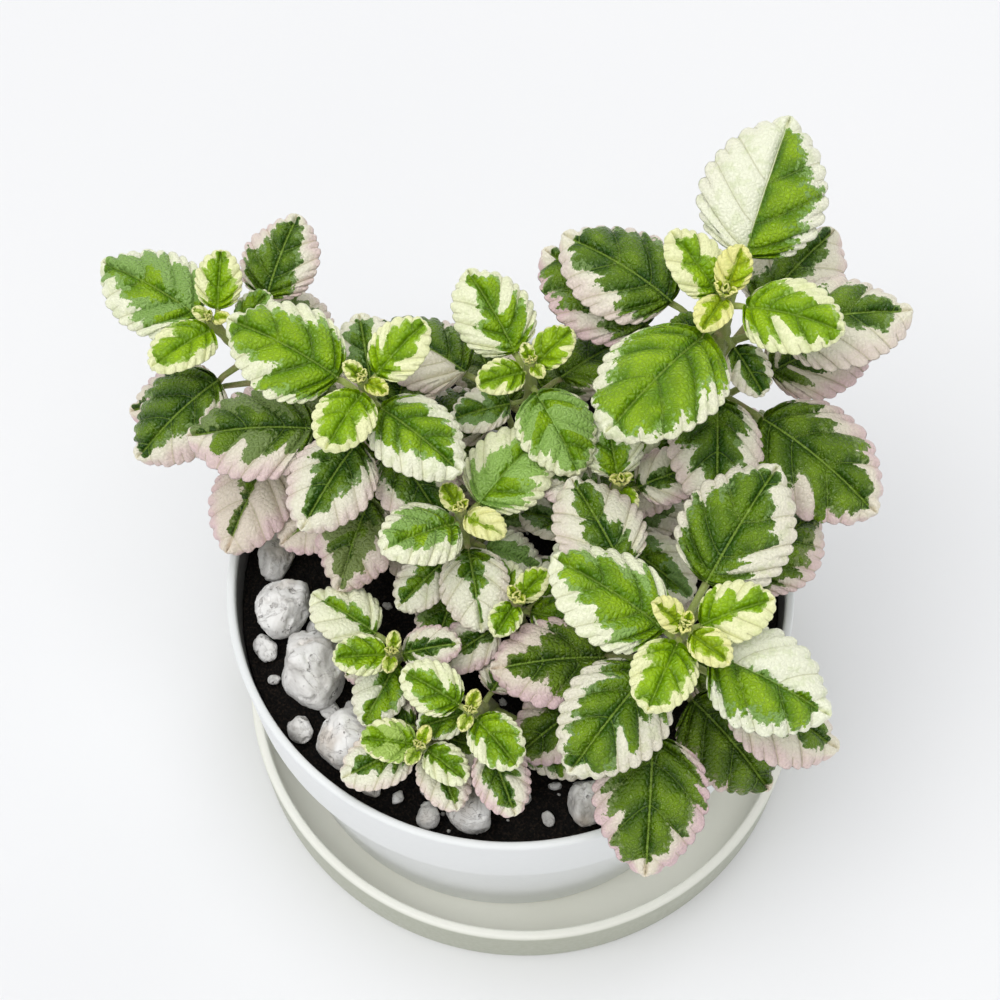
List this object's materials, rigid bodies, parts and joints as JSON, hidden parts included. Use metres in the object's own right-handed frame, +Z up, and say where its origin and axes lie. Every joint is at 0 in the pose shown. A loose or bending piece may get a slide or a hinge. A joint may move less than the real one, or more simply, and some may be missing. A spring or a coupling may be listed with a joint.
{
  "type": "potted mintleaf",
  "caption": "Variegated mintleaf with scalloped, cream-edged leaves in opposite pairs on square stems, in a round white pot of soil and stones, standing on its saucer.",
  "frame": {"origin": "on the underside of the saucer, straight below the middle of the pot", "axes": "+Z up along the pot's axis, +X to the right and +Y away from the viewer in the picture"},
  "size_m": [0.1643, 0.1349, 0.1377],
  "materials": {
    "saucer": "satin, cream white",
    "pot": "satin, cool white",
    "soil": "dark crumbly potting soil",
    "leaf": "soft quilted leaf, green with a cream to pink scalloped edge",
    "stone": "rough white porous stone"
  },
  "bodies": {
    "root": {"saucer": "saucer", "pot": "pot", "soil": "soil", "leafy_stem_01": "leaf", "leafy_stem_02": "leaf", "leafy_stem_03": "leaf", "leafy_stem_04": "leaf", "leafy_stem_05": "leaf", "leafy_stem_06": "leaf", "leafy_stem_07": "leaf", "leafy_stem_08": "leaf", "leafy_stem_09": "leaf", "leafy_stem_10": "leaf", "leafy_stem_11": "leaf", "stone_01": "stone", "stone_02": "stone", "stone_03": "stone", "stone_04": "stone", "stone_05": "stone", "stone_06": "stone", "stone_07": "stone", "stone_08": "stone", "stone_09": "stone", "stone_10": "stone", "stone_11": "stone", "stone_12": "stone", "stone_13": "stone", "stone_14": "stone", "stone_15": "stone", "stone_16": "stone", "stone_17": "stone", "stone_18": "stone"}
  },
  "joints": []
}
